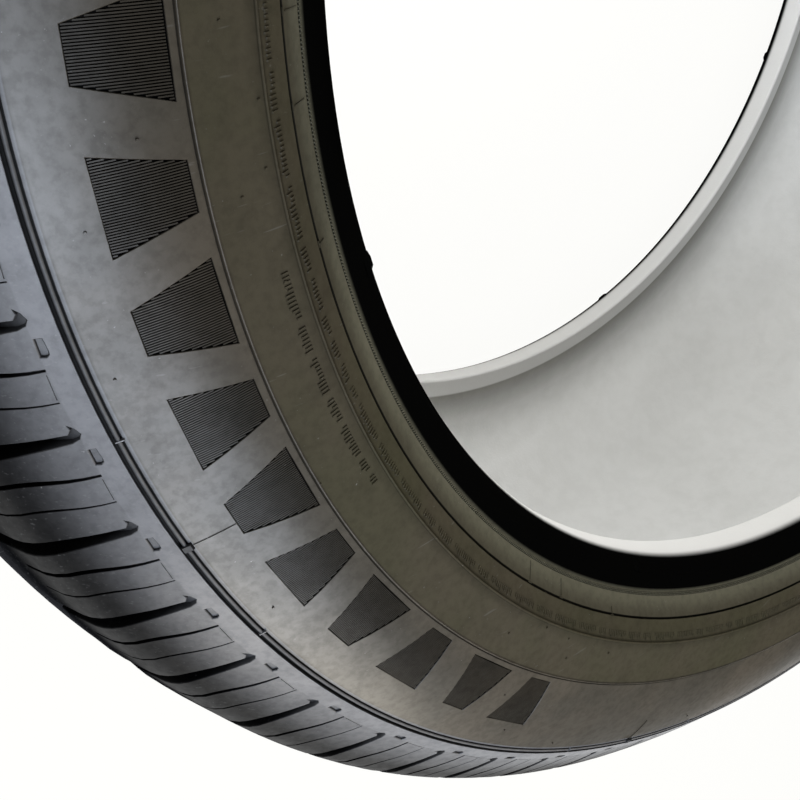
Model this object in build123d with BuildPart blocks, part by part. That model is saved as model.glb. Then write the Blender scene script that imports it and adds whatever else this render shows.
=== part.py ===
from build123d import *
import os
from itertools import accumulate

# Car tyre in the size 225/50 R17, moulded in one piece of rubber, lying on its side wall.
# The axle is Z, the origin is the wheel's centre, and all sizes are in millimetres.

# Overall sizes, as moulded and off the rim
overall_diameter = 656.8
section_width = 224.0
seat_diameter = 436.6

# Crown, with three grooves that run round it and two ribs between them
crown_thickness = 17.0
rib_width = 42.0
rib_drop = 2.6
round_groove_width = 13.0
round_groove_depth = 8.0

# Shoulder, from the tread's corner down to the parting line of the mould
land_drop = 1.8
tread_width = 166.6
corner_drop = 12.4
parting_width = 204.8
parting_drop = 35.8
inner_crown_width = 116.0

# Side wall, widest from the rim flange's line to just below the middle of the wall
flange_line_height = 25.6
bulge_offset = 6.2
side_wall_thickness = 9.0

# Bead, whose seat grips the rim
bead_width = 205.0
bead_face_height = 11.5
heel_bevel = 5.0
seat_length = 13.0

# Pitches of the shoulder grooves, as relative lengths in their order round the tread
short_pitch = 0.92
medium_pitch = 1.0
long_pitch = 1.08
pitch_run = [short_pitch] * 5 + [medium_pitch, long_pitch, medium_pitch]
pitch_run_count = 8

# One shoulder groove, whose straight floor rises from the round groove to a tip on the shoulder
groove_wall_slope = 0.4
groove_mouth_depth = 7.0
groove_tip_clearance = 4.0

crown_radius = overall_diameter / 2
seat_radius = seat_diameter / 2
half_width = section_width / 2

# Outer section points as radius and height above the mid-plane, from the crown to the bead
rib_start = Vector(crown_radius, round_groove_width / 2)
rib_end = rib_start + Vector(-rib_drop, rib_width)
land = rib_end + Vector(-land_drop, round_groove_width)
corner = Vector(crown_radius - corner_drop, tread_width / 2)
parting = Vector(crown_radius - parting_drop, parting_width / 2)
flange_line = Vector(seat_radius + flange_line_height, half_width)
side_middle = (flange_line.X + parting.X) / 2
bulge_top = Vector(side_middle - bulge_offset, half_width)
bead_face = Vector(seat_radius + bead_face_height, bead_width / 2)
heel_face = Vector(seat_radius + heel_bevel, bead_width / 2)
heel_seat = Vector(seat_radius, bead_width / 2 - heel_bevel)
toe = heel_seat - Vector(0, seat_length)

# Inner section points, from the bead to the crown
inner_bulge = Vector(side_middle, half_width - side_wall_thickness)
inner_shoulder = Vector(crown_radius - crown_thickness, inner_crown_width / 2)
inner_crown = Vector(crown_radius - crown_thickness, 0)

# Round grooves are sunk straight towards the axle, each from its lower edge
centre_floor = rib_start - Vector(round_groove_depth, 0)
outer_floor = land - Vector(round_groove_depth, 0)

# Shoulder groove's floor line and the turns that place each groove
mouth = land - Vector(groove_mouth_depth, 0)
floor_run = parting + (corner - parting).normalized() * groove_tip_clearance - mouth
groove_plane = Plane((mouth.X, 0, mouth.Y), x_dir=(0, 1, 0), z_dir=(-floor_run.X, 0, -floor_run.Y))
groove_reach = crown_radius - mouth.X + groove_mouth_depth
groove_top_width = 2 * groove_wall_slope * groove_reach
pitch_unit = 360 / (sum(pitch_run) * pitch_run_count)
pitch_angles = accumulate(pitch * pitch_unit for pitch in pitch_run * pitch_run_count)
pitch_turns = [Rotation(0, 0, angle) for angle in pitch_angles]

with BuildPart() as shoulder_groove:
    with BuildSketch(groove_plane) as groove_section:
        Polygon(
            (0, 0),
            (groove_top_width / 2, groove_reach),
            (-groove_top_width / 2, groove_reach),
            align=None,
        )
    extrude(groove_section.sketch, amount=round_groove_width)
    extrude(groove_section.sketch, amount=-floor_run.length - groove_reach)

with BuildPart() as tyre:
    with BuildSketch(Plane.XZ):
        with BuildLine():
            Polyline(
                inner_crown,
                Vector(centre_floor.X, 0),
                centre_floor,
                rib_start,
                rib_end,
                Vector(outer_floor.X, rib_end.Y),
                outer_floor,
                land,
                corner,
                parting,
                bulge_top,
                flange_line,
                bead_face,
                heel_face,
                heel_seat,
                toe,
                inner_bulge,
                inner_shoulder,
                close=True,
            )
        make_face()
        mirror(about=Plane.XZ)
    revolve(axis=Axis.Z)
    with Locations(*pitch_turns):
        add(shoulder_groove.part, mode=Mode.SUBTRACT)
        add(shoulder_groove.part, rotation=(180, 0, 0), mode=Mode.SUBTRACT)

tyre.part.label = "tyre"
os.makedirs("parts", exist_ok=True)
export_step(tyre.part, "parts/tyre.step")
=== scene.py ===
import random
from itertools import accumulate
from math import atan2, ceil, cos, degrees, hypot, pi, radians, sin, sqrt, tan

import bpy
from mathutils import Matrix, Vector
from mathutils.geometry import delaunay_2d_cdt


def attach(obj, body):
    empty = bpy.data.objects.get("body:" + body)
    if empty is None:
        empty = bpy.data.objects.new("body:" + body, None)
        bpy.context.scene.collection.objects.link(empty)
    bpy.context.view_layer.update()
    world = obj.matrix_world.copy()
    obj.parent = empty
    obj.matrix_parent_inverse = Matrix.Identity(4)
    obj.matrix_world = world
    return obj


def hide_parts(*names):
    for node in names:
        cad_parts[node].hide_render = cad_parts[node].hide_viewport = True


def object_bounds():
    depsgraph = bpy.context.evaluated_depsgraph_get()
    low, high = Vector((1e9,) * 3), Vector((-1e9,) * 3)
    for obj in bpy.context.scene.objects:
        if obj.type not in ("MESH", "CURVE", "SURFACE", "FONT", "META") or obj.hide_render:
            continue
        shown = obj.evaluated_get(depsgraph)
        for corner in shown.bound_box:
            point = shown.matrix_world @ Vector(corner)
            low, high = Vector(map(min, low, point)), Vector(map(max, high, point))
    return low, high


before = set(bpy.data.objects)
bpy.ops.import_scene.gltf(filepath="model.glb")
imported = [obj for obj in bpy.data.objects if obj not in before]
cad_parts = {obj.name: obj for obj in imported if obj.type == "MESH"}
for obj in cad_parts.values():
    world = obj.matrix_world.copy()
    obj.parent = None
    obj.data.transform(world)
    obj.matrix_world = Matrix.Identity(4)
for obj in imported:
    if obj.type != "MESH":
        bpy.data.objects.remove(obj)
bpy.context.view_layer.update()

# Crown ribs
# Two broad ribs of rubber between three round grooves, with two slits from each block of the mould.
# The blocks have three lengths, mixed for a quiet tyre. Sizes are in millimetres and degrees.
SHORT, MEDIUM, LONG = 0.92, 1.0, 1.08
SHORT_COUNT = 5
PITCH_RUN = [SHORT] * SHORT_COUNT + [MEDIUM, LONG, MEDIUM]
RUNS = 8
PITCH_UNIT = 360 / (sum(PITCH_RUN) * RUNS)
pitches = [length * PITCH_UNIT for length in PITCH_RUN * RUNS]
next_pitches = pitches[1:] + pitches[:1]
groove_angles = list(accumulate(pitches))
CELLS = len(pitches)
CELL_LEAD = 0.2
CELL_PARTS = 4
cell_starts = [angle - CELL_LEAD * pitch for angle, pitch in zip(groove_angles, pitches)]
cell_starts.append(cell_starts[0] + 360)
node_angles = [
    start + (end - start) * part / CELL_PARTS
    for start, end in zip(cell_starts, cell_starts[1:])
    for part in range(CELL_PARTS)
]

vertices = []
faces = []
# Painted shade per point, which darkens recesses and the feet of raised forms
grime = []


def vertex(angle, radius, height, dirt=0.0):
    """One point of the rubber, turned round the axle, which is Z, with the painted shade on it."""
    vertices.append((radius * cos(radians(angle)), radius * sin(radians(angle)), height))
    grime.append(dirt)
    return len(vertices) - 1


def ring(radius, height, dirt=0.0):
    """One row of points round the axle, at every node angle."""
    return [vertex(angle, radius, height, dirt) for angle in node_angles]


def bands(rows):
    """Faces between rows that have the same node angles."""
    for first, second in zip(rows, rows[1:]):
        for here in range(len(first)):
            there = (here + 1) % len(first)
            faces.append((first[here], first[there], second[there], second[here]))


class Outline:
    """A path of radius and height that is read by the length along it."""

    def __init__(self, path, first_sink=None, sink_blend=1.0):
        self.path = path
        self.lengths = [0.0] + list(accumulate((b - a).length for a, b in zip(path, path[1:])))
        runs = [(b - a).normalized() for a, b in zip(path, path[1:])]
        around = [runs[0]] + [(a + b).normalized() for a, b in zip(runs, runs[1:])] + [runs[-1]]
        self.normals = [Vector((run.y, -run.x)) for run in around]
        self.first_sink = first_sink
        self.sink_blend = sink_blend
        self.total = self.lengths[-1]

    def at(self, length):
        """The point and the outward normal at a length along the path."""
        length = min(max(length, 0.0), self.total)
        part = 0
        while part < len(self.lengths) - 2 and self.lengths[part + 1] < length:
            part += 1
        share = (length - self.lengths[part]) / (self.lengths[part + 1] - self.lengths[part])
        point = self.path[part].lerp(self.path[part + 1], share)
        normal = self.normals[part].lerp(self.normals[part + 1], share).normalized()
        return point, normal

    def sunk(self, length, depth):
        """A point at a depth below the path, square to it or, near its start, along first_sink."""
        point, normal = self.at(length)
        if self.first_sink:
            share = min(1.0, length / self.sink_blend)
            normal = Vector(self.first_sink).lerp(normal, share).normalized()
        return point - normal * depth


def is_inside(point, loop):
    """True if a point of the plan lies inside a closed loop."""
    found = False
    for a, b in zip(loop, loop[1:] + loop[:1]):
        if (a[1] > point[1]) != (b[1] > point[1]):
            if point[0] < a[0] + (b[0] - a[0]) * (point[1] - a[1]) / (b[1] - a[1]):
                found = not found
    return found


def distance_to(point, loop):
    """The distance in the plan from a point to the nearest side of a loop."""
    nearest = hypot(point[0] - loop[0][0], point[1] - loop[0][1])
    for a, b in zip(loop, loop[1:] + loop[:1]):
        side = (b[0] - a[0], b[1] - a[1])
        away = (point[0] - a[0], point[1] - a[1])
        share = (away[0] * side[0] + away[1] * side[1]) / (side[0] ** 2 + side[1] ** 2)
        share = min(1.0, max(0.0, share))
        nearest = min(nearest, hypot(away[0] - share * side[0], away[1] - share * side[1]))
    return nearest


class Recess:
    """A groove, slit or pocket in the rubber, as a closed loop in the plan of its cell.

    The loop runs with its inside on the left, and its corners are millimetres across and along
    from the angle. The edge is a bevel inside the loop, and the draft leans the walls. An open
    loop starts and ends on the first row. The painted shade is its share on the lip and the depth
    at which the floor is fully shaded.
    """

    SHARPEST, LONGEST = 0.3, 1.6

    def __init__(self, angle, corners, depth, edge, dirt, draft=0.0, most_draft=0.0, is_open=False):
        self.angle = angle
        self.corners = corners
        self.depth = depth
        self.edge = edge
        self.lip_dirt, self.full_shade_depth = dirt
        self.draft = draft
        self.most_draft = most_draft
        self.is_open = is_open

    def place(self, outline, start, scale):
        """Lay the loop and its bevel out in the plan of a cell."""
        self.outer = []
        for across, along in self.corners:
            turn = self.angle - start + degrees(across / outline.at(along)[0].x)
            self.outer.append((turn * scale, along))
        self.inwards = [self.inward(here) for here in range(len(self.outer))]
        self.inner = [
            (x + inward.x * self.edge, y + inward.y * self.edge)
            for (x, y), inward in zip(self.outer, self.inwards)
        ]

    def inward(self, here):
        """The inward direction at one corner, longer where the loop turns sharply."""
        a, b, c = self.outer[here - 1], self.outer[here], self.outer[(here + 1) % len(self.outer)]
        before = Vector((a[1] - b[1], b[0] - a[0])).normalized()
        after = Vector((b[1] - c[1], c[0] - b[0])).normalized()
        if self.is_open and here == 0:
            before = after = Vector((after.x, 0)).normalized()
        if self.is_open and here == len(self.outer) - 1:
            before = after = Vector((before.x, 0)).normalized()
        middle = (before + after).normalized()
        return middle * min(self.LONGEST, 1 / max(self.SHARPEST, middle.dot(before)))

    def floor_shade(self, along):
        return min(1.0, self.depth(along) / self.full_shade_depth)


GRID_CLEARANCE = 0.9
PLAN_TOLERANCE = 1e-5


def moulded_zone(outline, rows, recesses_of):
    """Rubber between two rows of the section, with the recesses of each pitch moulded into it.

    It returns each cell's first row of points, mouths included, and the last row as one ring.
    """
    sides = {}
    first_rows = []
    last_ring = []
    scale = radians(1) * outline.at(outline.total / 2)[0].x
    for cell in range(CELLS):
        start, end = cell_starts[cell], cell_starts[cell + 1]
        width = (end - start) * scale
        recesses = recesses_of(cell)
        for recess in recesses:
            recess.place(outline, start, scale)
        mouths = [(r.outer[-1][0], r.outer[0][0]) for r in recesses if r.is_open]
        points, tags, edges = [], [], []

        def put(x, y, *tag):
            points.append((x, y))
            tags.append(tag)
            return len(points) - 1

        left = [put(0.0, y, "left", row) for row, y in enumerate(rows)]
        right = [put(width, y, "right", row) for row, y in enumerate(rows)]
        top, bottom = [], []
        for part in range(1, CELL_PARTS):
            x = width * part / CELL_PARTS
            bottom.append(put(x, rows[-1], "bottom"))
            if not any(low < x < high for low, high in mouths):
                top.append(put(x, rows[0], "top"))
            for y in rows[1:-1]:
                is_clear = all(
                    distance_to((x, y), r.outer) > GRID_CLEARANCE and not is_inside((x, y), r.outer)
                    for r in recesses
                )
                if is_clear:
                    put(x, y, "grid")
        walls = []
        for recess in recesses:
            outer = [put(*point, "outer") for point in recess.outer]
            inner = [put(*point, "inner", recess, here) for here, point in enumerate(recess.inner)]
            for loop in (outer, inner):
                if recess.is_open:
                    top += [loop[0], loop[-1]]
                    edges += zip(loop, loop[1:])
                else:
                    edges += zip(loop, loop[1:] + loop[:1])
            walls += zip(inner, inner[1:]) if recess.is_open else zip(inner, inner[1:] + inner[:1])
        top = [left[0]] + sorted(top, key=lambda point: points[point][0]) + [right[0]]
        bottom = [left[-1]] + bottom + [right[-1]]
        for line in (left, right, top, bottom):
            edges += zip(line, line[1:])
        plan = [Vector(point) for point in points]
        cut = delaunay_2d_cdt(plan, edges, [], 0, PLAN_TOLERANCE)
        triangles, origins = cut[2], cut[3]
        surface, floor = {}, {}

        def on_surface(point):
            """The point on the surface or, for a recess's inner loop, at the foot of its bevel."""
            if point not in surface:
                x, y = points[point]
                kind = tags[point][0]
                shared = None
                if kind in ("left", "right"):
                    shared = ((cell + (kind == "right")) % CELLS, tags[point][1])
                if shared not in sides:
                    depth, dirt = 0.0, 0.0
                    if kind == "inner":
                        depth, dirt = tags[point][1].edge, tags[point][1].lip_dirt
                    place = outline.sunk(y, depth)
                    surface[point] = vertex(start + x / scale, place.x, place.y, dirt)
                    if shared:
                        sides[shared] = surface[point]
                else:
                    surface[point] = sides[shared]
            return surface[point]

        def on_floor(point):
            """The point on a recess's floor below a corner of its inner loop."""
            if point not in floor:
                x, y = points[point]
                recess, corner = tags[point][1:]
                lean = min(recess.draft * recess.depth(y), recess.most_draft)
                shift = recess.inwards[corner] * lean
                place = outline.sunk(y + shift.y, recess.depth(y))
                angle = start + (x + shift.x) / scale
                floor[point] = vertex(angle, place.x, place.y, recess.floor_shade(y))
            return floor[point]

        for triangle in triangles:
            corners = [origins[corner][0] for corner in triangle]
            middle = [sum(points[corner][axis] for corner in corners) / 3 for axis in (0, 1)]
            is_floor = any(is_inside(middle, recess.inner) for recess in recesses)
            lay = on_floor if is_floor else on_surface
            faces.append(tuple(lay(corner) for corner in corners))
        for a, b in walls:
            faces.append((on_surface(a), on_surface(b), on_floor(b), on_floor(a)))

        row = []
        for point in top[:-1]:
            share = points[point][0] / width
            steps = [(share, on_surface(point))]
            if tags[point][0] == "inner":
                goes_down = tags[point][2] > 0
                steps.insert(1 if goes_down else 0, (share, on_floor(point)))
            row += steps
        first_rows.append(row)
        last_ring += [on_surface(point) for point in bottom[:-1]]
    return first_rows, last_ring


def ramp(value, stops):
    """Straight-line value between stops of place and value."""
    if value <= stops[0][0]:
        return stops[0][1]
    for (a, low), (b, high) in zip(stops, stops[1:]):
        if value <= b:
            return low + (high - low) * (value - a) / (b - a)
    return stops[-1][1]


TAPER_START = 0.6


def slit(angle, path, width, depth, edge, dirt, end_share=1.0):
    """A narrow slit along a path from an angle, which may taper to a share of its width."""
    halves = []
    for number, (before, after) in enumerate(zip(path[:1] + path, path[1:] + path[-1:])):
        share = ramp(number / (len(path) - 1), [(TAPER_START, 1.0), (1.0, end_share)])
        run = (Vector(after) - Vector(before)).normalized() * share * width / 2
        halves.append(Vector((run.y, -run.x)))
    loop = [tuple(Vector(point) + half) for point, half in zip(path, halves)]
    loop += [tuple(Vector(point) - half) for point, half in reversed(list(zip(path, halves)))]
    return Recess(angle, loop, depth, edge, dirt)


CROWN_RADIUS = 328.4
RIB_START, RIB_END, RIB_DROP = 6.5, 48.5, 2.6
ROUND_DEPTH = 8.0
EDGE, FILLET = 0.45, 0.9
# Painted shade on the floor and fillets of the round grooves, and in the slits as lip share and
# full depth
FLOOR_SHADE, FILLET_SHADE = 1.0, 0.9
RIB_SLIT_WIDTH, RIB_SLIT_DEPTH, RIB_SLIT_EDGE, RIB_SLIT_SHADE = 0.9, 5.0, 0.1, (0.7, 5.0)
LONG_SLIT = [(-3.5, 5.0), (-1.2, 11.5), (1.2, 18.0), (3.5, 25.0)]
SHORT_SLIT = [(-1.8, 26.0), (0.2, 31.5), (2.2, 37.5)]
LONG_SLIT_PLACE, SHORT_SLIT_PLACE = 0.12, 0.56


def crown(height):
    """Radius of the crown's curve at a height above the mid-plane."""
    return CROWN_RADIUS - RIB_DROP * (height / RIB_END) ** 2


def rib_slits(cell):
    """One long and one short slanted slit in each pitch."""
    return [
        slit(
            groove_angles[cell] + place * next_pitches[cell],
            path,
            RIB_SLIT_WIDTH,
            lambda along: RIB_SLIT_DEPTH,
            RIB_SLIT_EDGE,
            RIB_SLIT_SHADE,
        )
        for place, path in ((LONG_SLIT_PLACE, LONG_SLIT), (SHORT_SLIT_PLACE, SHORT_SLIT))
    ]


rib_heights = [RIB_START + EDGE, 12.0, 18.0, 24.0, 30.0, 36.0, 42.0, RIB_END - EDGE]
rib = Outline([Vector((crown(height), height)) for height in rib_heights])
rib_rows = [0.0, 5.0, 11.0, 17.0, 24.0, 30.0, 36.0, rib.total]
rib_first, rib_last = moulded_zone(rib, rib_rows, rib_slits)
centre_floor = CROWN_RADIUS - ROUND_DEPTH
middle_ring = ring(centre_floor, RIB_START - FILLET, FLOOR_SHADE)
bands([
    middle_ring,
    ring(centre_floor + FILLET, RIB_START, FILLET_SHADE),
    ring(crown(RIB_START) - EDGE, RIB_START),
    [point for row in rib_first for share, point in row],
])

# Shoulders
# The tread's outer rubber, which turns down to the side wall. In each pitch, the mould leaves a
# barbed groove, a wide and a fine sipe with a scribed line between their ends, and a small pocket.
LAND_START, LAND_RADIUS = 61.5, 323.5
SHOULDER_FOOT = (293.1, 102.0)


def rounded(corners, step):
    """A path through corners of radius and height, each given with the radius that rounds it."""
    path = [Vector(corners[0][:2])]
    for before, corner, after in zip(corners, corners[1:], corners[2:]):
        point = Vector(corner[:2])
        back = (Vector(before[:2]) - point).normalized()
        ahead = (Vector(after[:2]) - point).normalized()
        opening = back.angle(ahead)
        reach = corner[2] / tan(opening / 2)
        centre = point + (back + ahead).normalized() * corner[2] / sin(opening / 2)
        start, end = point + back * reach - centre, point + ahead * reach - centre
        turn = start.angle_signed(end)
        count = max(2, ceil(abs(degrees(turn)) / step))
        for part in range(count + 1):
            share = part / count
            arm = start * sin((1 - share) * turn) + end * sin(share * turn)
            path.append(centre + arm / sin(turn))
    path.append(Vector(corners[-1][:2]))
    return path


shoulder_corners = [
    (LAND_RADIUS - EDGE, LAND_START),
    (LAND_RADIUS, LAND_START + EDGE, 0.05),
    (318.0, 81.5, 19.0),
    (305.9, 92.3, 110.0),
    SHOULDER_FOOT,
]
SHOULDER_TURN, MOUTH_BLEND = 5, 12.0
shoulder_path = rounded(shoulder_corners, SHOULDER_TURN)
shoulder = Outline(shoulder_path, first_sink=(1.0, 0.0), sink_blend=MOUTH_BLEND)
FOOT = shoulder.total
shoulder_rows = [0.0, 0.65, 3.5, 7.0, 10.5, 13.5, 16.0, 18.5, 21.0, 23.5, 26.0, 29.0]
shoulder_rows += [33.0, 37.0, 41.0, 45.0, 48.5, FOOT]

TIP = FOOT - 4.9
groove_widths = [(0.0, 6.0), (8.5, 5.6), (16.0, 5.3), (24.0, 4.8)]
groove_widths += [(31.0, 4.0), (37.0, 3.2), (44.0, 2.6)]
groove_depths = [(0.0, 7.0), (22.0, 6.0), (36.0, 3.4), (TIP - 3.0, 1.3), (TIP, 0.7)]
groove_rows = [0.0, 4.0, 8.5, 12.5, 16.0, 19.0, 22.0, 25.0, 28.0, 32.0, 36.0, 40.0]
right_edge = [(ramp(along, groove_widths) / 2, along) for along in groove_rows]
left_edge = [(-across, along) for across, along in reversed(right_edge)]
barb = [
    (1.2, TIP - 2.9),
    (0.5, TIP - 0.9),
    (-0.9, TIP),
    (-2.5, TIP - 0.8),
    (-3.8, TIP - 2.4),
    (-2.4, TIP - 2.1),
    (-1.3, TIP - 3.0),
]
groove_corners = right_edge + barb + left_edge
# The _SHADE pairs here and below are painted shade: the share on a recess's lip and the depth of
# full shade
GROOVE_EDGE, GROOVE_DRAFT, GROOVE_MOST_DRAFT, GROOVE_SHADE = 0.22, 0.2, 0.6, (0.75, 1.9)

WIDE_SIPE, FINE_SIPE = 1.45, 0.75
WIDE_PLACE, FINE_PLACE, POCKET_PLACE = 0.383, 0.668, 0.2
SIPE_START = 9.0
WIDE_END, FINE_END = FOOT - 5.7, FOOT - 6.0
SIPE_EDGE, WIDE_SHADE, FINE_SHADE, SIPE_END = 0.1, (0.85, 1.6), (0.85, 0.9), 0.5
SIPE_LEAN, lean_stops = -1.8, [(27.0, 1.0), (44.0, 0.0)]
sipe_depths = [(SIPE_START, 3.0), (24.0, 4.0), (33.0, 2.6), (WIDE_END - 6.0, 1.0), (FOOT, 0.5)]
SIPE_PIECES = 10
SCRIBE_WIDTH, SCRIBE_DEPTH, SCRIBE_EDGE, SCRIBE_GAP, SCRIBE_SHADE = 0.28, 0.2, 0.06, 0.3, (0.4, 0.4)
POCKET_DEPTH, POCKET_EDGE, POCKET_SHADE, POCKET_FROM_FOOT = 0.7, 0.32, (1.0, 2.8), 4.6
pocket_corners = [(-2.35, -1.05), (2.2, -1.25), (2.45, 0.3), (1.85, 1.1), (0.8, 1.25), (-2.2, 1.05)]
pocket_corners = [(across, along + FOOT - POCKET_FROM_FOOT) for across, along in pocket_corners]


def groove_depth(along):
    return ramp(along, groove_depths)


def sipe_depth(along):
    return ramp(along, sipe_depths)


def sipe_path(end):
    """A sipe's line, which leans a little on its way to the tread."""
    span = end - SIPE_START
    steps = [SIPE_START + span * part / SIPE_PIECES for part in range(SIPE_PIECES + 1)]
    shares = [ramp(along, lean_stops) for along in steps]
    return [
        (SIPE_LEAN * share * share * (3 - 2 * share), along)
        for share, along in zip(shares, steps)
    ]


def shoulder_recesses(cell):
    """The groove, sipes, scribed line and pocket of one pitch."""
    angle, pitch = groove_angles[cell], next_pitches[cell]
    wide, fine = angle + WIDE_PLACE * pitch, angle + FINE_PLACE * pitch
    gap = radians(fine - wide) * shoulder.at(WIDE_END)[0].x
    scribe = [
        (WIDE_SIPE / 2 + SCRIBE_GAP, WIDE_END - SCRIBE_GAP),
        (gap - FINE_SIPE / 2 - SCRIBE_GAP, FINE_END - SCRIBE_GAP),
    ]
    pocket = angle + POCKET_PLACE * pitch
    return [
        Recess(
            angle,
            groove_corners,
            groove_depth,
            GROOVE_EDGE,
            GROOVE_SHADE,
            GROOVE_DRAFT,
            GROOVE_MOST_DRAFT,
            is_open=True,
        ),
        slit(wide, sipe_path(WIDE_END), WIDE_SIPE, sipe_depth, SIPE_EDGE, WIDE_SHADE, SIPE_END),
        slit(fine, sipe_path(FINE_END), FINE_SIPE, sipe_depth, SIPE_EDGE, FINE_SHADE, SIPE_END),
        slit(wide, scribe, SCRIBE_WIDTH, lambda along: SCRIBE_DEPTH, SCRIBE_EDGE, SCRIBE_SHADE),
        Recess(pocket, pocket_corners, lambda along: POCKET_DEPTH, POCKET_EDGE, POCKET_SHADE),
    ]


outer_floor = LAND_RADIUS - ROUND_DEPTH
groove_foot = ring(outer_floor + FILLET / 2, LAND_START, FILLET_SHADE)
bands([
    rib_last,
    ring(crown(RIB_END) - EDGE, RIB_END),
    ring(outer_floor + FILLET, RIB_END, FILLET_SHADE),
    ring(outer_floor, RIB_END + FILLET, FLOOR_SHADE),
    ring(outer_floor, LAND_START - FILLET / 2, FLOOR_SHADE),
    groove_foot,
])
shoulder_first, shoulder_last = moulded_zone(shoulder, shoulder_rows, shoulder_recesses)
SAME = 1e-6
for cell, row in enumerate(shoulder_first):
    row = row + [(1.0, shoulder_first[(cell + 1) % CELLS][0][1])]
    first = cell * CELL_PARTS
    feet = [groove_foot[(first + part) % len(groove_foot)] for part in range(CELL_PARTS + 1)]
    stops = [
        part for part in range(CELL_PARTS + 1)
        if any(abs(share - part / CELL_PARTS) < SAME for share, point in row)
    ]
    for low, high in zip(stops, stops[1:]):
        start, end = low / CELL_PARTS - SAME, high / CELL_PARTS + SAME
        upper = [point for share, point in row if start < share < end]
        faces.append(tuple(feet[low:high + 1] + upper[::-1]))

# Side walls
# Thin rubber that bulges out over the plies. The mould gives it a groove and a cord at its parting
# line, three groups of sunk panels, and raised rings and a scribed line that lead down to the bead.
BULGE_RADIUS, CREST_RADIUS, CREST_HEIGHT = 94.5, 250.0, 112.0
bead_face = [(244.3, 111.83), (236.7, 108.2), (229.6, 103.0)]


def wall_height(radius):
    """Height of the side wall: a wide arc down to the lower ring and leaning faces below it."""
    if radius >= bead_face[0][0]:
        return CREST_HEIGHT - BULGE_RADIUS + sqrt(BULGE_RADIUS**2 - (radius - CREST_RADIUS) ** 2)
    return ramp(-radius, [(-face_radius, height) for face_radius, height in bead_face])


def wall_point(radius, rise=0.0):
    """Point of the side wall at a radius, raised square to the millimetre of wall round it."""
    slope = wall_height(radius + 0.5) - wall_height(radius - 0.5)
    return Vector((radius, wall_height(radius))) + Vector((-slope, 1.0)).normalized() * rise


# PARTING_END_SHADE is painted shade on the bevel between the parting line and the wall
PARTING_END, PARTING_END_SHADE, WALL_START, WALL_END = 290.6, 0.4, 289.4, 260.95
# Parting line as length along, rise and painted shade: a thin lip, the groove, the cord and the
# scribed line
parting_shape = [(0.05, 0.07, 0.0), (0.13, 0.05, 0.2), (0.19, -0.95, 1.0), (0.85, -1.0, 1.0)]
parting_shape += [(0.93, -0.5, 1.0), (1.03, -0.08, 0.9), (1.25, 0.17, 0.6), (1.55, 0.26, 0.3)]
parting_shape += [(1.85, 0.17, 0.5), (2.07, -0.08, 0.9), (2.13, -0.5, 1.0), (2.42, -0.5, 1.0)]
parting_shape += [(2.5, -0.06, 0.9)]
parting_start, parting_end = Vector(SHOULDER_FOOT), wall_point(PARTING_END)
parting_run = (parting_end - parting_start).normalized()
parting_out = Vector((parting_run.y, -parting_run.x))
parting_rings = [
    ring(*(parting_start + parting_run * along + parting_out * rise), dirt)
    for along, rise, dirt in parting_shape
]

WALL_STEPS, WALL_ROWS = 14, 8
wall_run = WALL_END - WALL_START
wall_radii = [WALL_START + wall_run * step / WALL_STEPS for step in range(WALL_STEPS + 1)]
wall = Outline([wall_point(radius) for radius in wall_radii])
PANEL_TOP, PANEL_BOTTOM = 280.0, 262.1
PANEL_WIDE, PANEL_NARROW = 20.4, 10.6
# PANEL_SHADE is painted shade on each panel's lip and floor
PANEL_DEPTH, PANEL_EDGE, PANEL_SHADE, PANEL_SIDE_PARTS = 0.75, 0.16, (0.8, 0.75), 3
GROUP_STARTS, GROUP_LENGTH = (62, 19, 41), 10
panel_cells = {(start + step) % CELLS for start in GROUP_STARTS for step in range(GROUP_LENGTH)}
panel_low, panel_high = (
    ramp(-radius, [(-point.x, length) for point, length in zip(wall.path, wall.lengths)])
    for radius in (PANEL_TOP, PANEL_BOTTOM)
)


def panel_centre(cell):
    return (cell_starts[cell] + cell_starts[cell + 1]) / 2


def panel_half(cell, along):
    """Half the width of a panel, which is wide at the top and at the bottom by turns."""
    wide, narrow = PANEL_WIDE / 2, PANEL_NARROW / 2
    ends = (wide, narrow) if cell % 2 else (narrow, wide)
    return ramp(along, [(panel_low, ends[0]), (panel_high, ends[1])])


def wall_panels(cell):
    if cell not in panel_cells:
        return []
    span = panel_high - panel_low
    steps = [panel_low + span * part / PANEL_SIDE_PARTS for part in range(PANEL_SIDE_PARTS + 1)]
    loop = [(panel_half(cell, along), along) for along in steps]
    loop += [(-across, along) for across, along in reversed(loop)]
    return [Recess(panel_centre(cell), loop, lambda along: PANEL_DEPTH, PANEL_EDGE, PANEL_SHADE)]


wall_rows = [wall.total * row / WALL_ROWS for row in range(WALL_ROWS + 1)]
wall_first, wall_last = moulded_zone(wall, wall_rows, wall_panels)
wall_top = [point for row in wall_first for share, point in row]
bands([shoulder_last] + parting_rings + [ring(*parting_end, PARTING_END_SHADE), wall_top])

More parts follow.
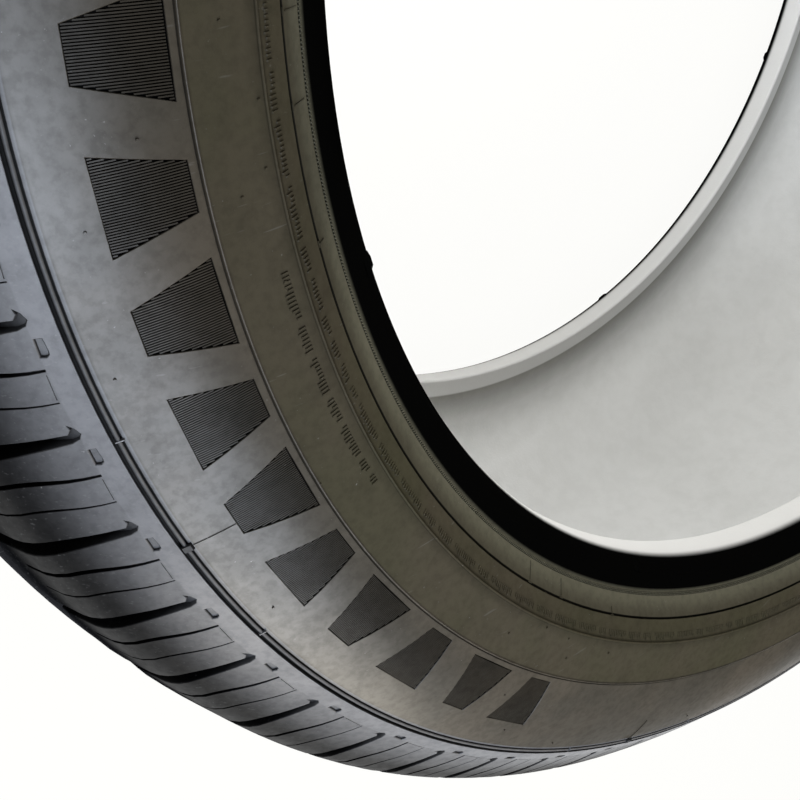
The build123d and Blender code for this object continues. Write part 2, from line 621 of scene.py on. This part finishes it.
# Lower wall as radius, rise and painted shade, from the upper raised ring to the edge of the chafer
upper_ring = [(260.55, 0.0, 0.1), (260.45, -0.2, 0.7), (260.2, -0.2, 0.7), (260.1, 0.1, 0.2)]
upper_ring += [(260.0, 0.32, 0.0), (259.85, 0.38, 0.0), (259.7, 0.32, 0.0), (259.6, 0.05, 0.3)]
upper_ring += [(259.35, 0.0, 0.1)]
plain_wall = [(radius, 0.0, 0.0) for radius in (259.1, 256.0, 253.0, 250.0, 247.5)]
lower_ring = [(244.8, 0.0, 0.2), (244.6, 0.0, 0.5), (244.5, 0.25, 0.1), (244.3, 0.36, 0.0)]
lower_ring += [(244.1, 0.32, 0.0), (243.9, 0.05, 0.7), (243.6, 0.0, 0.4), (243.1, 0.0, 0.05)]
rim_line = [(240.0, 0.0, 0.0), (237.15, 0.0, 0.0), (237.05, -0.1, 0.8), (236.95, -0.5, 0.9)]
rim_line += [(236.5, -0.5, 0.9), (236.4, -0.06, 0.8), (236.3, 0.0, 0.0)]
chafer_edge = [(233.0, 0.0, 0.0), (230.55, 0.0, 0.0), (230.4, -0.06, 0.9), (229.7, -0.06, 0.9)]
wall_shape = upper_ring + plain_wall + lower_ring + rim_line + chafer_edge
wall_rings = [ring(*wall_point(radius, rise), dirt) for radius, rise, dirt in wall_shape]

# Beads and liner
# Stiff rubber over a hoop of wire, with a round heel, a seat that grips the rim and a thin toe. The
# liner, pale with the powder of its making, runs from one toe over the crown to the other.
SEAT_RADIUS, TOE_HEIGHT = 218.3, 84.3
LINER_RADIUS, LINER_SHOULDER = 311.4, 58.0
bead_corners = [(229.5, 102.5), (SEAT_RADIUS, 101.9, 11.0), (SEAT_RADIUS, TOE_HEIGHT)]
liner_corners = [
    (SEAT_RADIUS, TOE_HEIGHT),
    (268.2, 102.9, 28.0),
    (LINER_RADIUS, LINER_SHOULDER, 36.0),
    (LINER_RADIUS, 5.6),
]
TOE_ROUNDING = 1.2
toe_corners = [bead_corners[-2], bead_corners[-1] + (TOE_ROUNDING,), liner_corners[1]]
HEEL_TURN, TOE_TURN, LINER_TURN = 9, 15, 13
heel = Outline(rounded(bead_corners, HEEL_TURN)[:-1])
toe = rounded(toe_corners, TOE_TURN)[1:-1]
bead_rings = [ring(*point) for point in heel.path + toe]
liner_rings = [ring(*point) for point in rounded(liner_corners, LINER_TURN)[1:]]
bands([wall_last] + wall_rings + bead_rings + liner_rings)
powdered = {point for row in liner_rings for point in row}

# The lower half is the upper half turned over, so that its grooves fall below those above
TURN_OVER = SHORT_COUNT * SHORT * PITCH_UNIT
turned_over = Matrix.Rotation(radians(TURN_OVER), 4, "Z") @ Matrix.Rotation(pi, 4, "X")


def with_underside(points, sides):
    """A half's points and faces, followed by the same half turned over."""
    count = len(points)
    under = [tuple(turned_over @ Vector(point)) for point in points]
    return points + under, sides + [tuple(count + point for point in side) for side in sides]


half_count = len(vertices)
vertices, faces = with_underside(vertices, faces)
grime += grime
powder = [float(point % half_count in powdered) for point in range(len(vertices))]


def turned_row(upper):
    """The row that a half's row becomes when it is turned over, in the order of the upper row."""
    lower = [half_count + point for point in reversed(upper)]
    angle = atan2(vertices[upper[0]][1], vertices[upper[0]][0])
    away = [cos(atan2(vertices[point][1], vertices[point][0]) - angle) for point in lower]
    shift = away.index(max(away))
    return lower[shift:] + lower[:shift]


bands([turned_row(middle_ring), middle_ring])
bands([liner_rings[-1], turned_row(liner_rings[-1])])

MILLIMETRE, SHARPEST_SMOOTH = 0.001, 32


def solid(name, points, sides, material, **shares):
    """A mesh in metres from points in millimetres, with painted shade and powder as shares per
    point.
    """
    mesh = bpy.data.meshes.new(name)
    mesh.from_pydata([Vector(point) * MILLIMETRE for point in points], [], sides)
    mesh.shade_smooth()
    mesh.set_sharp_from_angle(angle=radians(SHARPEST_SMOOTH))
    mesh.materials.append(material)
    for kind, values in shares.items():
        mesh.attributes.new(kind, "FLOAT", "POINT").data.foreach_set("value", values)
    made = bpy.data.objects.new(name, mesh)
    bpy.context.scene.collection.objects.link(made)
    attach(made, "root")
    return made


class Shade:
    """A socket in a material's node tree. Python's operators on it add Math nodes."""

    def __init__(self, tree, socket=None):
        self.tree = tree
        self.socket = socket

    def node(self, kind, settings, sockets, give=0):
        """Any node, with its settings made first and then its sockets set or linked."""
        made = self.tree.nodes.new(kind)
        for name, value in settings.items():
            setattr(made, name, value)
        for name, value in sockets.items():
            if isinstance(value, Shade):
                self.tree.links.new(value.socket, made.inputs[name])
            else:
                made.inputs[name].default_value = value
        return Shade(self.tree, made.outputs[give])

    def math(self, operation, *values):
        return self.node("ShaderNodeMath", {"operation": operation}, dict(enumerate(values)))

    def blend(self, factor, first, second):
        """A colour between two colours, through a Mix node."""
        sockets = {0: factor, 6: first, 7: second}
        return self.node("ShaderNodeMix", {"data_type": "RGBA"}, sockets, 2)

    def between(self, low, high):
        """0 below the low value, 1 above the high one and smooth between them."""
        settings = {"interpolation_type": "SMOOTHSTEP"}
        return self.node("ShaderNodeMapRange", settings, {0: self, 1: low, 2: high, 3: 0.0, 4: 1.0})

    def noise(self, scale, detail, roughness):
        """Noise over the place that this socket holds."""
        sockets = {"Vector": self, "Scale": scale, "Detail": detail, "Roughness": roughness}
        return self.node("ShaderNodeTexNoise", {}, sockets)

    def streaks(self, turn, scale):
        """Noise drawn out into thin streaks, over the place that this socket holds."""
        sockets = {"Vector": self, "Rotation": turn, "Scale": scale}
        return self.node("ShaderNodeMapping", {}, sockets).noise(*STREAK)

    def share(self, kind):
        """A share that the mesh carries per point, such as its painted shade and its powder."""
        return self.node("ShaderNodeAttribute", {"attribute_name": kind}, {}, "Fac")

    def __add__(self, other):
        return self.math("ADD", self, other)

    def __sub__(self, other):
        return self.math("SUBTRACT", self, other)

    def __rsub__(self, other):
        return self.math("SUBTRACT", other, self)

    def __mul__(self, other):
        return self.math("MULTIPLY", self, other)

    __radd__ = __add__
    __rmul__ = __mul__


# Colours of the walls, the bead, the shoulder and the tread, and of what lies on them. The foot of
# the shoulder carries a painted sheen, the shoulder's tread and the heel are painted near-black as
# shade, and SHADOW is the painted shade in recesses and at the feet of raised marks.
OUTER_WALL, DUST = (0.043, 0.0378, 0.0285, 1), (0.076, 0.061, 0.043, 1)
INNER_WALL, INNER_BROWN = (0.0450, 0.0408, 0.0247, 1), (0.0488, 0.0418, 0.0275, 1)
BEAD_LINE, BEAD_EDGE = (0.048, 0.043, 0.029, 1), (0.090, 0.086, 0.061, 1)
HEEL_SHADE, SEAT, LINER = (0.0012, 0.0012, 0.0011, 1), (0.480, 0.476, 0.463, 1), (0.560, 0.560, 0.548, 1)
SHOULDER_FOOT_SHEEN = (0.134, 0.135, 0.142, 1)
TREAD, CROWN = (0.0032, 0.0033, 0.0037, 1), (0.020, 0.020, 0.021, 1)
SHADOW, SCUFF = (0.002, 0.002, 0.002, 1), (0.36, 0.36, 0.35, 1)

# Where each zone begins and is full, in metres from the axle or, for the height, from the mid-plane
UPPER_RING_ZONE, RIM_LINE_ZONE = (0.2594, 0.2597), (0.2366, 0.2369)
BEAD_FACE_ZONE, HEEL_ZONE = (0.2300, 0.2366), (0.2282, 0.2297)
HEEL_HEIGHT = (0.0935, 0.0965)

# Zones across the shoulder, by a length that grows from the side wall over to the tread. Over them,
# the painted sheen of the foot falls, in a step and then a fade, into the painted shade of the
# tread.
OVER_RADIUS, OVER_HEIGHT = 0.77, 0.64
SHOULDER_ZONE, CROWN_ZONE = (0.1571, 0.1575), (0.204, 0.216)
FOOT_ZONE, FOOT_FALL = (0.1658, 0.1664), 0.15
FADE_ZONE, FADE_FALL = (0.1620, 0.1865), 0.85

# Noises as scale, detail and roughness, and thin streaks as turn and scale
CLOUD, MOTTLE = (18.0, 4.0, 0.6), (110.0, 4.0, 0.62)
SPECKLE, GRAIN = (420.0, 3.0, 0.6), (900.0, 3.0, 0.6)
STREAK = (1.0, 2.0, 0.5)
SCRATCHES = (0.6, 0.4, 0.9), (70.0, 900.0, 900.0)
HAIRS = (0.3, 1.1, 0.2), (60.0, 1300.0, 1300.0)

# Where the noises begin to show and are full, and how strongly each shows
DUST_CLOUD, DUST_SHARE, BROWN_CLOUD = (0.42, 0.66), 0.45, (0.40, 0.62)
WORN, WORN_MOTTLE, WORN_SPECKLE = (0.40, 0.70), 0.10, 0.13
FLECK_GRAIN, FLECK_MOTTLE, FLECK_SHARE = (0.69, 0.76), (0.48, 0.62), 0.3
SCRATCH_LINE, SCRATCH_CLOUD, SCRATCH_SHARE = (0.69, 0.74), (0.42, 0.60), 0.07
HAIR_LINE, HAIR_SHARE = (0.64, 0.72), 0.07
SMUDGE_CLOUD, SMUDGE_MOTTLE, SMUDGE_SHARE = (0.4, 0.7), (0.35, 0.70), 0.06

# Sheen of the smooth rubber, and what takes it away, painted shade included
WALL_SHEEN, UPPER_SHEEN, LEAST_SHEEN, UPPER_WALL_ZONE = 0.3, 0.6, 0.1, (0.2600, 0.2780)
TREAD_LOSS, PAINTED_SHADE_LOSS, DULL_LOSS = 0.60, 0.9, 0.18
SHEEN_END_ZONE, DULL_MOTTLE, DULL_SPECKLE = (0.190, 0.206), (0.35, 0.72), (0.38, 0.66)
SHEEN_ROUGHNESS, SHEEN_IOR = 0.32, 1.56

# Roughness and fine relief of the surface
ROUGHNESS, MOTTLE_ROUGHNESS, POWDER_ROUGHNESS = 0.62, 0.25, 0.15
GRAIN_RELIEF, SPECKLE_RELIEF, MOTTLE_RELIEF = 0.25, 0.25, 0.50
BUMP_STRENGTH, BUMP_DISTANCE = 0.5, 0.0005


def rubber():
    """Cured rubber, with a grey painted sheen by the shoulder, olive by the bead and painted shade
    in its grooves.
    """
    material = bpy.data.materials.new("tyre_rubber")
    material.use_nodes = True
    tree = material.node_tree
    bsdf = tree.nodes["Principled BSDF"]
    place = Shade(tree).node("ShaderNodeTexCoord", {}, {}, "Object")
    split = place.node("ShaderNodeSeparateXYZ", {}, {"Vector": place})
    x, y, z = (Shade(tree, split.socket.node.outputs[axis]) for axis in range(3))
    square = x * x + y * y
    radius = square.math("SQRT", square)
    height = z.math("ABSOLUTE", z)
    over = radius * OVER_RADIUS - height * OVER_HEIGHT

    cloud, mottle = place.noise(*CLOUD), place.noise(*MOTTLE)
    speckle, grain = place.noise(*SPECKLE), place.noise(*GRAIN)
    scratches, hairs = place.streaks(*SCRATCHES), place.streaks(*HAIRS)
    dirt, powdery = place.share("grime"), place.share("powder")
    outer_wall = radius.between(*UPPER_RING_ZONE)
    tread = over.between(*SHOULDER_ZONE)
    shoulder_shade_fade = over.between(*FOOT_ZONE) * FOOT_FALL + over.between(*FADE_ZONE) * FADE_FALL
    inside = 1 - radius.between(*HEEL_ZONE)

    bead = place.blend(radius.between(*BEAD_FACE_ZONE), BEAD_EDGE, BEAD_LINE)
    dusty = place.blend(cloud.between(*DUST_CLOUD) * DUST_SHARE, OUTER_WALL, DUST)
    inner = place.blend(cloud.between(*BROWN_CLOUD), INNER_WALL, INNER_BROWN)
    colour = place.blend(outer_wall, inner, dusty)
    colour = place.blend(radius.between(*RIM_LINE_ZONE), bead, colour)
    # The tread's painted shade lightens towards the crown's own colour, and the foot's painted
    # sheen fades into it
    tread_shade_to_crown = place.blend(over.between(*CROWN_ZONE), TREAD, CROWN)
    colour = place.blend(tread, colour, place.blend(shoulder_shade_fade, SHOULDER_FOOT_SHEEN, tread_shade_to_crown))
    worn = mottle.between(*WORN) * WORN_MOTTLE + speckle.between(*WORN) * WORN_SPECKLE
    colour = place.blend(worn, colour, TREAD)
    fleck = grain.between(*FLECK_GRAIN) * mottle.between(*FLECK_MOTTLE)
    scratch = scratches.between(*SCRATCH_LINE) * cloud.between(*SCRATCH_CLOUD)
    hair = hairs.between(*HAIR_LINE) * tread
    scuffed = fleck * FLECK_SHARE + scratch * SCRATCH_SHARE + hair * HAIR_SHARE
    colour = place.blend(scuffed, colour, SCUFF)
    # Painted shade in the recesses and at the feet of raised forms
    colour = place.blend(dirt, colour, SHADOW)
    # The heel is painted near-black as shade, the seat pale
    colour = place.blend(inside, colour, place.blend(height.between(*HEEL_HEIGHT), SEAT, HEEL_SHADE))
    cloudy, mottled = cloud.between(*SMUDGE_CLOUD), mottle.between(*SMUDGE_MOTTLE)
    smudged = place.blend(cloudy * SMUDGE_SHARE + mottled * SMUDGE_SHARE, LINER, BEAD_EDGE)
    colour = place.blend(powdery, colour, smudged)

    sheen = outer_wall * (WALL_SHEEN + UPPER_SHEEN * radius.between(*UPPER_WALL_ZONE)) + LEAST_SHEEN
    sheen = sheen * (1 - TREAD_LOSS * shoulder_shade_fade) * (1 - over.between(*SHEEN_END_ZONE))
    sheen = sheen * (1 - PAINTED_SHADE_LOSS * dirt) * (1 - inside) * (1 - powdery)
    dull = 1 - DULL_LOSS * mottle.between(*DULL_MOTTLE) - DULL_LOSS * speckle.between(*DULL_SPECKLE)
    roughness = ROUGHNESS + MOTTLE_ROUGHNESS * mottle + POWDER_ROUGHNESS * powdery
    relief = grain * GRAIN_RELIEF + speckle * SPECKLE_RELIEF + mottle * MOTTLE_RELIEF
    bump = {"Strength": BUMP_STRENGTH, "Distance": BUMP_DISTANCE, "Height": relief}
    normal = relief.node("ShaderNodeBump", {}, bump)
    tree.links.new(colour.socket, bsdf.inputs["Base Color"])
    tree.links.new(roughness.socket, bsdf.inputs["Roughness"])
    tree.links.new((sheen * dull).socket, bsdf.inputs["Coat Weight"])
    tree.links.new(normal.socket, bsdf.inputs["Normal"])
    bsdf.inputs["Specular IOR Level"].default_value = 0.0
    bsdf.inputs["Coat Roughness"].default_value = SHEEN_ROUGHNESS
    bsdf.inputs["Coat IOR"].default_value = SHEEN_IOR
    return material


tyre_rubber = rubber()
tyre_body = solid("tyre_body", vertices, faces, tyre_rubber, grime=grime, powder=powder)
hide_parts("tyre")

# Panel ribs
# Fine ridges of the same rubber, which fill each sunk panel of the side walls. They are cut into
# the mould's plate, run out from the axle and stay below the surface, and painted shade, heaviest
# at their feet, makes the panel look dark.
RIDGE_PITCH, RIDGE_STEP, RIDGE_END_GAP = 0.56, 6.0, 0.3
ridge_section = [(-0.25, -0.06, 1.0), (-0.15, 0.5, 0.5), (0.15, 0.5, 0.5), (0.25, -0.06, 1.0)]


def ridge_span(cell, across):
    """The start and end of a ridge along the wall, where the panel is wide enough for it."""
    stops = [(panel_half(cell, along), along) for along in (panel_low, panel_high)]
    reach = abs(across) + RIDGE_PITCH / 2
    edge = ramp(reach, sorted(stops))
    if reach <= stops[0][0] and reach <= stops[1][0]:
        return panel_low, panel_high
    return (panel_low, edge) if stops[0][0] > stops[1][0] else (edge, panel_high)


ridge_points, ridge_sides, ridge_grime = [], [], []
CORNERS = len(ridge_section)
for cell in sorted(panel_cells):
    count = int((PANEL_WIDE / 2 - RIDGE_PITCH / 2) / RIDGE_PITCH)
    for number in range(-count, count + 1):
        across = number * RIDGE_PITCH
        low, high = ridge_span(cell, across)
        low, high = low + RIDGE_END_GAP, high - RIDGE_END_GAP
        steps = max(1, ceil((high - low) / RIDGE_STEP))
        for step in range(steps + 1):
            along = low + (high - low) * step / steps
            base = len(ridge_points)
            for side, rise, dirt in ridge_section:
                place = wall.sunk(along, PANEL_DEPTH - rise)
                turn = radians(panel_centre(cell)) + (across + side) / place.x
                ridge_points.append((place.x * cos(turn), place.x * sin(turn), place.y))
                ridge_grime.append(dirt)
            if step:
                last = base - CORNERS
                for corner in range(CORNERS):
                    after = (corner + 1) % CORNERS
                    ridge_sides.append((last + corner, last + after, base + after, base + corner))
            else:
                ridge_sides.append(tuple(reversed(range(base, base + CORNERS))))
        ridge_sides.append(tuple(range(base, base + CORNERS)))
solid("panel_ribs", *with_underside(ridge_points, ridge_sides), tyre_rubber, grime=ridge_grime * 2)

# Mould marks
# Raised rubber that the mould leaves on the side walls: two rows of plain ticks, two rows of dots
# by the chafer, stubs from the vents, and flash and lumps where the mould's eight segments meet.


class Marks:
    """Small closed forms of rubber on the side wall, gathered into one mesh."""

    ROOT = 0.12
    # Painted shade at the root and at the top of each form
    DIRT, STUB_DIRT = (0.5, 0.0), (0.15, 0.0)
    STUB_CORNERS = 10

    def __init__(self):
        self.points, self.sides, self.grime = [], [], []

    def form(self, angle, place, loop, rise, taper, dirt, ground=wall_point):
        """A form that rises from a loop round and away from the axle to the same loop drawn in."""
        here, above = ground(place), ground(place, 1.0)
        turn = Matrix.Rotation(radians(angle), 3, "Z")
        off = turn @ Vector((above.x - here.x, 0.0, above.y - here.y))
        around = turn @ Vector((0.0, 1.0, 0.0))
        outwards = around.cross(off)
        centre = turn @ Vector((here.x, 0.0, here.y))
        count = len(loop)
        root, top = len(self.points), len(self.points) + count
        for level, draw, share in ((-self.ROOT, 1.0, dirt[0]), (rise, taper, dirt[1])):
            for across, away in loop:
                spread = (around * across + outwards * away) * draw
                self.points.append(tuple(centre + spread + off * level))
                self.grime.append(share)
        self.sides.append(tuple(reversed(range(root, top))))
        self.sides.append(tuple(range(top, top + count)))
        for corner in range(count):
            after = (corner + 1) % count
            self.sides.append((root + corner, root + after, top + after, top + corner))

    def block(self, angle, place, width, length, rise, taper, dirt=DIRT, ground=wall_point):
        half, reach = width / 2, length / 2
        loop = [(-half, -reach), (-half, reach), (half, reach), (half, -reach)]
        self.form(angle, place, loop, rise, taper, dirt, ground)

    def stub(self, angle, radius, thickness, rise, taper):
        turns = [-2 * pi * corner / self.STUB_CORNERS for corner in range(self.STUB_CORNERS)]
        loop = [(thickness / 2 * cos(turn), thickness / 2 * sin(turn)) for turn in turns]
        self.form(angle, radius, loop, rise, taper, self.STUB_DIRT)

    def made(self, name):
        solid(name, *with_underside(self.points, self.sides), tyre_rubber, grime=self.grime * 2)


TICK_WIDTH, TICK_RISE, TICK_TAPER = 0.5, 0.32, 0.7
TICK_LENGTHS = (1.5, 2.0, 2.5)
TICK_STEP, TICK_GAP, TICK_RUN, TICK_SEED = 1.0, 2.6, (4, 12), 17
UPPER_ROW, UPPER_ARCS, UPPER_LENGTH = 247.2, (7.0, 127.0, 247.0), 14.5
LOWER_ROW, LOWER_ARC, LOWER_LENGTH = 240.9, 0.0, 359.5
chance = random.Random(TICK_SEED)


def tick_row(marks, foot_radius, start, length):
    """Ticks in short runs round an arc, each standing on the row's foot."""
    angle, left = start, chance.randint(*TICK_RUN)
    while angle < start + length:
        tall = chance.choice(TICK_LENGTHS)
        marks.block(angle, foot_radius + tall / 2, TICK_WIDTH, tall, TICK_RISE, TICK_TAPER)
        left -= 1
        angle += degrees((TICK_STEP if left else TICK_GAP) / foot_radius)
        left = left or chance.randint(*TICK_RUN)


ticks = Marks()
for arc in UPPER_ARCS:
    tick_row(ticks, UPPER_ROW, arc, UPPER_LENGTH)
tick_row(ticks, LOWER_ROW, LOWER_ARC, LOWER_LENGTH)
ticks.made("tick_rows")

CHAFER_ROWS, CHAFER_DOTS = ((230.2, 0.0), (229.8, 0.5)), 1700
DOT_SIZE, DOT_RISE, DOT_TAPER = 0.4, 0.22, 0.6
chafer = Marks()
for radius, offset in CHAFER_ROWS:
    for dot in range(CHAFER_DOTS):
        angle = 360 * (dot + offset) / CHAFER_DOTS
        chafer.block(angle, radius, DOT_SIZE, DOT_SIZE, DOT_RISE, DOT_TAPER)
chafer.made("chafer_dots")

SEGMENTS = 8
SEGMENT = 360 / SEGMENTS
# Lump, joint and clip as width, length, rise and taper
LUMP, LUMP_TURN, LUMP_PLACE = (4.6, 5.0, 0.7, 0.5), -7.3, 9.0
# JOINT_SHADE and CLIP_SHADE are painted shade at the root and at the top of the joint and the clips
JOINT, JOINT_ANGLE, JOINT_RADIUS, JOINT_SHADE = (2.3, 2.9, 0.75, 0.72), 18.1, 291.4, (1.0, 0.8)
FLASH_WIDTH, FLASH_RISE, FLASH_TAPER = 0.26, 0.2, 0.95
FLASH_TOP, FLASH_PIECES, FLASH_OVERLAP = 290.2, 3, 0.2
CLIP, CLIP_TURNS, CLIP_SHADE = (FLASH_WIDTH, 2.4, 0.55, 0.8), (-6.7, 7.2), (0.0, 0.0)
# Flash on the bead as turn, radius and length, each with a bar across its outer end. BAR_SHADE is
# painted shade at the root and at the top of both.
BAR_WIDTH, BAR_TAPER, BAR_SHADE = 1.7, 0.9, (0.8, 0.2)
bead_flashes = [(-22.8, 233.5, 6.2), (-18.4, 233.7, 5.6), (-11.2, 235.6, 2.6)]
# Vents as radius and turn
vent_places = [(259.6, 0.73), (244.2, 13.05), (252.2, -22.9), (245.9, -19.4)]
vent_places += [(246.8, -16.3), (253.1, -15.4), (283.1, -15.8), (285.4, 6.0)]
vent_places += [(287.2, -9.5), (270.5, -18.9), (248.6, -10.7)]
VENT_SIZE, VENT_RISE, VENT_TAPER = 0.8, 0.4, 0.6


def heel_point(along, rise=0.0):
    """Point of the heel at a length along its curve, raised square to it."""
    point, normal = heel.at(along)
    return point + normal * rise


joints = Marks()
flash_step = (FLASH_TOP - PANEL_TOP) / FLASH_PIECES
flash_length = flash_step + FLASH_OVERLAP
for segment in range(SEGMENTS):
    angle = JOINT_ANGLE + segment * SEGMENT
    joints.block(angle + LUMP_TURN, LUMP_PLACE, *LUMP, ground=heel_point)
    joints.block(angle, JOINT_RADIUS, *JOINT, JOINT_SHADE)
    for piece in range(FLASH_PIECES):
        radius = FLASH_TOP - flash_step * (piece + 0.5)
        joints.block(angle, radius, FLASH_WIDTH, flash_length, FLASH_RISE, FLASH_TAPER)
    for turn in CLIP_TURNS:
        joints.block(angle + turn, JOINT_RADIUS, *CLIP, CLIP_SHADE)
    for turn, radius, length in bead_flashes:
        here, end = angle + turn, radius + length / 2
        joints.block(here, radius, FLASH_WIDTH, length, FLASH_RISE, BAR_TAPER, BAR_SHADE)
        joints.block(here, end, BAR_WIDTH, FLASH_WIDTH, FLASH_RISE, BAR_TAPER, BAR_SHADE)
    for radius, turn in vent_places:
        joints.stub(angle + turn, radius, VENT_SIZE, VENT_RISE, VENT_TAPER)
joints.made("segment_marks")

# Floor
# A wide sheet of white board, not part of the tyre, which lies on it with one side wall down.
FLOOR_SIZE = 6.0
BOARD, BOARD_ROUGHNESS = (0.8, 0.8, 0.79, 1), 0.9
BOARD_LIT, BOARD_GLOW = (1.0, 0.998, 0.975, 1), 0.95
floor_mesh = bpy.data.meshes.new("floor")
half = FLOOR_SIZE / 2
floor_corners = [(-half, -half, 0), (half, -half, 0), (half, half, 0), (-half, half, 0)]
floor_mesh.from_pydata(floor_corners, [], [(0, 1, 2, 3)])
floor = bpy.data.objects.new("floor", floor_mesh)
floor.location.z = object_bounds()[0][2]
bpy.context.scene.collection.objects.link(floor)
white_board = bpy.data.materials.new("white_board")
white_board.use_nodes = True
board = white_board.node_tree
paper = board.nodes["Principled BSDF"]
paper.inputs["Base Color"].default_value = BOARD
paper.inputs["Roughness"].default_value = BOARD_ROUGHNESS
rays = Shade(board).node("ShaderNodeLightPath", {}, {})
camera_ray, glossy_ray, through_ray = (
    Shade(board, rays.socket.node.outputs[name])
    for name in ("Is Camera Ray", "Is Glossy Ray", "Is Transmission Ray")
)
seen = rays.math("MAXIMUM", rays.math("MAXIMUM", camera_ray, glossy_ray), through_ray)
bright = seen.node("ShaderNodeEmission", {}, {"Color": BOARD_LIT, "Strength": 1.0})
looks = {0: seen * BOARD_GLOW, 1: Shade(board, paper.outputs[0]), 2: bright}
sheet = seen.node("ShaderNodeMixShader", {}, looks)
board.links.new(sheet.socket, board.nodes["Material Output"].inputs["Surface"])
floor_mesh.materials.append(white_board)

# Light
# A wide cool lamp draws the sheen on the shoulder, with a small one beside it. Two warm lamps stand
# low and behind, one in the hole lights the liner, one fills the far tread, and the room is pale.
COOL = (0.80, 0.875, 1.0)
ROOM, ROOM_STRENGTH = (1.0, 0.97, 0.92, 1), 0.14


def lamp(name, place, aim, width, height, power, colour):
    light = bpy.data.lights.new(name, "AREA")
    light.shape = "RECTANGLE"
    light.size = width
    light.size_y = height
    light.energy = power
    light.color = colour
    made = bpy.data.objects.new(name, light)
    made.location = place
    made.rotation_euler = (Vector(aim) - Vector(place)).to_track_quat("-Z", "Y").to_euler()
    made.visible_camera = False
    bpy.context.scene.collection.objects.link(made)


lamp("sheen_lamp", (0.79, 0.65, 0.888), (0.26, 0.08, 0.11), 1.45, 0.70, 17.4, COOL)
lamp("key_lamp", (0.70, 0.155, 0.89), (0.28, 0.0, 0.11), 0.42, 0.42, 2.5, COOL)
lamp("window_lamp", (0.46, 1.05, 0.475), (0.25, 0.15, 0.1), 0.6, 0.5, 4.0, (1.0, 0.93, 0.80))
lamp("back_lamp", (-0.35, 0.75, 0.95), (0.2, 0.15, 0.1), 0.7, 0.7, 4.5, (1.0, 0.92, 0.80))
lamp("liner_lamp", (0.11, -0.11, 0.08), (-0.22, 0.22, -0.08), 0.28, 0.14, 1.35, (1.0, 1.0, 0.99))
lamp("fill_lamp", (-0.85, -0.55, 0.40), (-0.2, -0.1, 0.0), 0.8, 0.6, 6.0, (1.0, 0.98, 0.95))
room = bpy.data.worlds.new("room")
room.use_nodes = True
room_light = room.node_tree.nodes["Background"]
room_light.inputs["Color"].default_value = ROOM
room_light.inputs["Strength"].default_value = ROOM_STRENGTH
bpy.context.scene.world = room

# Camera
# A normal lens close to the shoulder, turned so that the side wall sweeps from top left to right.
LENS, SENSOR, NEAREST = 48.9, 36.0, 0.01
CAMERA_PLACE = (0.34338, -0.05808, 0.29699)
CAMERA_RIGHT, CAMERA_UP = Vector((-0.7992, 0.0952, 0.5935)), Vector((-0.3680, -0.8582, -0.3578))
view = bpy.data.cameras.new("camera")
view.lens = LENS
view.sensor_width = SENSOR
view.clip_start = NEAREST
camera = bpy.data.objects.new("camera", view)
camera_turn = Matrix((CAMERA_RIGHT, CAMERA_UP, CAMERA_RIGHT.cross(CAMERA_UP))).transposed().to_4x4()
camera.matrix_world = Matrix.Translation(CAMERA_PLACE) @ camera_turn
bpy.context.scene.collection.objects.link(camera)
bpy.context.scene.camera = camera
bpy.context.scene.view_settings.view_transform = "Standard"
